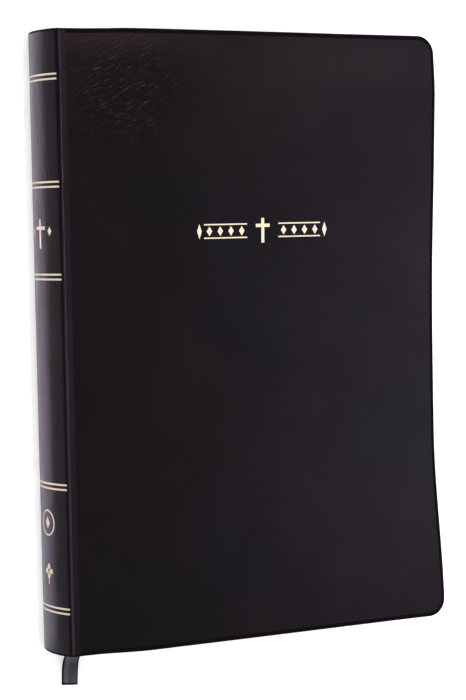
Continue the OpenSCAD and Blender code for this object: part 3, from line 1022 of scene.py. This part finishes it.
def ring(ca, cb, r0, r1):
    rows = []
    for a in steps(0, 2 * math.pi, 40):
        rows.append([(ca + r * math.sin(a), cb + r * math.cos(a)) for r in (r0, r1)])
    return np.array(rows)


def cross(ca, cb, h, w, t):
    """A latin cross h high and w wide, with bars t wide."""
    arm = cb + h / 2 - 0.3 * h
    return [patch(ca - t / 2, ca + t / 2, cb - h / 2, arm - t / 2, 1, 6),
            patch(ca - w / 2, ca + w / 2, arm - t / 2, arm + t / 2, 8, 1),
            patch(ca - t / 2, ca + t / 2, arm + t / 2, cb + h / 2, 1, 3)]


ORNAMENT = (86.0, 158.6)
FRIEZE_START, FRIEZE_END = 7, 26
LOZENGES = 4


def cover_place(a, b, off):
    return np.column_stack([a, b, front_top(a, b) + off])


def make_cover_foil():
    ca, cb = ORNAMENT
    shapes = cross(ca, cb, 9.6, 6.2, 1.3)
    for side in (-1, 1):
        for dy in (-2.6, 2.6):
            a0, a1 = sorted((ca + side * FRIEZE_START, ca + side * FRIEZE_END))
            shapes.append(patch(a0, a1, cb + dy - 0.25, cb + dy + 0.25, 16, 1))
        for k in range(LOZENGES):
            out = FRIEZE_START + (FRIEZE_END - FRIEZE_START) * (k + 0.5) / LOZENGES
            shapes.append(lozenge(ca + side * out, cb, 2.4, 3.6))
        shapes.append(lozenge(ca + side * (FRIEZE_END + 2), cb, 2, 5.7))
    foil("cover_ornament", shapes, cover_place, "front_foil_ornament", "front_cover", M_FOIL)


make_cover_foil()

# The spine's foils are drawn in (distance from its middle line towards the front cover, y).
SPINE_MIDDLE = SPINE_RUN[np.argmin(SPINE_LINE[:, 0])]
TITLE_Y = 159.0
BADGE_Y = H - 185.0
FLORET_Y = H - 203.5


def spine_place(a, b, off):
    return spine_at(SPINE_MIDDLE + a, b, off)


def make_spine_foils():
    back_end, front_end = RULE_END - SPINE_MIDDLE, SPINE_RUN[-1] - SPINE_MIDDLE - RULE_END
    rules = [patch(back_end, front_end, y - RULE_W / 2, y + RULE_W / 2, 60, 1) for y in RULES]
    foil("spine_rules", rules, spine_place, "spine_foil_rules", "spine", M_SPINE_FOIL)
    shapes = cross(0, TITLE_Y, 11, 7.2, 1.3)
    for side in (-1, 1):
        shapes.append(lozenge(side * 6.6, TITLE_Y + 1, 2.2, 3.4))
    shapes.append(ring(0, BADGE_Y, 4.4, 5.0))
    shapes.append(lozenge(0, BADGE_Y, 3, 4.4))
    petal_out, petal_r = 1.8, 1.1
    for k in range(4):
        a = k * math.pi / 2
        shapes.append(disc(petal_out * math.sin(a), FLORET_Y + petal_out * math.cos(a), petal_r))
    shapes.append(patch(-0.3, 0.3, FLORET_Y - 5, FLORET_Y, 1, 4))
    foil("spine_ornaments", shapes, spine_place, "spine_foil_ornaments", "spine", M_SPINE_FOIL)


make_spine_foils()


# ---- Head and tail bands ----

def make_band(side, y):
    """A wound silk band, which follows the folds' round at one end of the pages."""
    off = FOLD_R - 0.6
    half = PAGES_T / 2 - 1.1
    swing = math.asin(half / off)
    n, m = 96, 12
    points, uv, faces = [], [], []
    for k in range(n + 1):
        a = -swing + 2 * swing * k / n
        run = off * (a + swing)
        wrap = abs(math.sin(math.pi * run / 0.9))
        r = 0.90 + 0.09 * wrap ** 0.6
        if k in (0, n):
            r *= 0.6
        for q in range(m):
            b = 2 * math.pi * q / m
            reach = off + r * math.cos(b)
            points.append((FOLD_CX - reach * math.cos(a), y + r * math.sin(b),
                           MID + reach * math.sin(a)))
            uv.append((run, r * b))
    for k in range(n):
        for q in range(m):
            w = (q + 1) % m
            faces.append((k * m + q, k * m + w, (k + 1) * m + w, (k + 1) * m + q))
    faces.append(list(range(m))[::-1])
    faces.append([n * m + q for q in range(m)])
    band = new_mesh(side + "_silk", points, faces, [M_BAND], uv, sharp=60)
    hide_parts(side)
    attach(band, "spine")


BAND_OUT = 1.15  # how far past the pages each band's middle lies
make_band("headband", H - SQUARE + BAND_OUT)
make_band("tailband", SQUARE - BAND_OUT)

# ---- CAD pieces that show as they are ----

for node, material in (("spine_inlay", M_CARD_CAD), ("spine_lining", M_KRAFT),
                       ("spine_mull", M_MULL), ("sewing_thread", M_THREAD)):
    obj = frame["nodes"][node]
    obj.data.materials.clear()
    obj.data.materials.append(material)

# ---- Floor, background and lights ----

# The floor glows a little, so that it stays white.
floor_shader = Shader("pale_floor", uv=False)
floor_tone = floor_shader.noise(floor_shader.mm, 0.004, 2.0)
M_FLOOR = floor_shader.set(
    Base_Color=floor_shader.mix(floor_tone, (0.93, 0.93, 0.935), (0.95, 0.95, 0.95)),
    Roughness=0.9, Specular_IOR_Level=0.0, Emission_Color=(1.0, 1.0, 1.0), Emission_Strength=0.28)
FLOOR_HALF = 14.0
FLOOR_Z = -0.0004
floor_mesh = bpy.data.meshes.new("floor")
corners = [(FLOOR_HALF * x, FLOOR_HALF * y, FLOOR_Z) for x, y in ((-1, -1), (1, -1), (1, 1), (-1, 1))]
floor_mesh.from_pydata(corners, [], [(0, 1, 2, 3)])
floor_mesh.materials.append(M_FLOOR)
floor = bpy.data.objects.new("floor", floor_mesh)
bpy.context.scene.collection.objects.link(floor)


def studio_world():
    """Bright at the horizon, dim overhead."""
    world = bpy.data.worlds.new("studio")
    world.use_nodes = True
    tree = world.node_tree
    coords = tree.nodes.new("ShaderNodeTexCoord")
    split = tree.nodes.new("ShaderNodeSeparateXYZ")
    level = tree.nodes.new("ShaderNodeMapRange")
    level.interpolation_type = "SMOOTHSTEP"
    for k, v in (("From Min", 0.10), ("From Max", 0.34), ("To Min", 1.0), ("To Max", 0.06)):
        level.inputs[k].default_value = v
    background = tree.nodes["Background"]
    background.inputs["Color"].default_value = (0.97, 0.96, 1.0, 1.0)
    tree.links.new(coords.outputs["Generated"], split.inputs[0])
    tree.links.new(split.outputs["Z"], level.inputs["Value"])
    tree.links.new(level.outputs["Result"], background.inputs["Strength"])
    bpy.context.scene.world = world


studio_world()


def lamp(name, kind, place, energy, colour=(1, 1, 1), target=(0, 0, 0), **settings):
    """A light at place, aimed at the middle of the book unless a target is given."""
    data = bpy.data.lights.new(name, kind)
    data.energy = energy
    data.color = colour
    for k, v in settings.items():
        setattr(data, k, v)
    obj = bpy.data.objects.new(name, data)
    bpy.context.scene.collection.objects.link(obj)
    obj.location = place
    obj.rotation_mode = "QUATERNION"
    obj.rotation_quaternion = (Vector(target) - Vector(place)).to_track_quat("-Z", "Y")


SOFT_SUN = math.radians(40)
lamp("daylight", "SUN", (-0.9, -1.0, 1.9), 1.9, angle=SOFT_SUN)
lamp("far_daylight", "SUN", (-0.7, 1.4, 1.6), 0.9, (0.97, 0.96, 1.0), angle=SOFT_SUN)
# The cover mirrors these two, on its creased grain and towards its fore-edge.
lamp("glint", "AREA", (0.42, 0.85, 1.5), 13, (1.0, 0.93, 0.90), shape="RECTANGLE", size=0.3,
     size_y=0.3)
lamp("right_rim", "AREA", (1.7, -0.1, 1.05), 22, (0.86, 0.80, 1.0), shape="RECTANGLE", size=1.0,
     size_y=0.5)
# A narrow strip of violet light down onto the floor along the spine, for the spine to mirror.
STRIP_X, STRIP_Y = -0.0915, 0.015
lamp("spine_strip", "AREA", (STRIP_X, STRIP_Y, 0.25), 0.040, (0.86, 0.66, 1.0), (STRIP_X, STRIP_Y, 0.0),
     shape="RECTANGLE", size=0.012, size_y=0.26, spread=math.radians(4))

bpy.context.scene.view_settings.view_transform = "Standard"
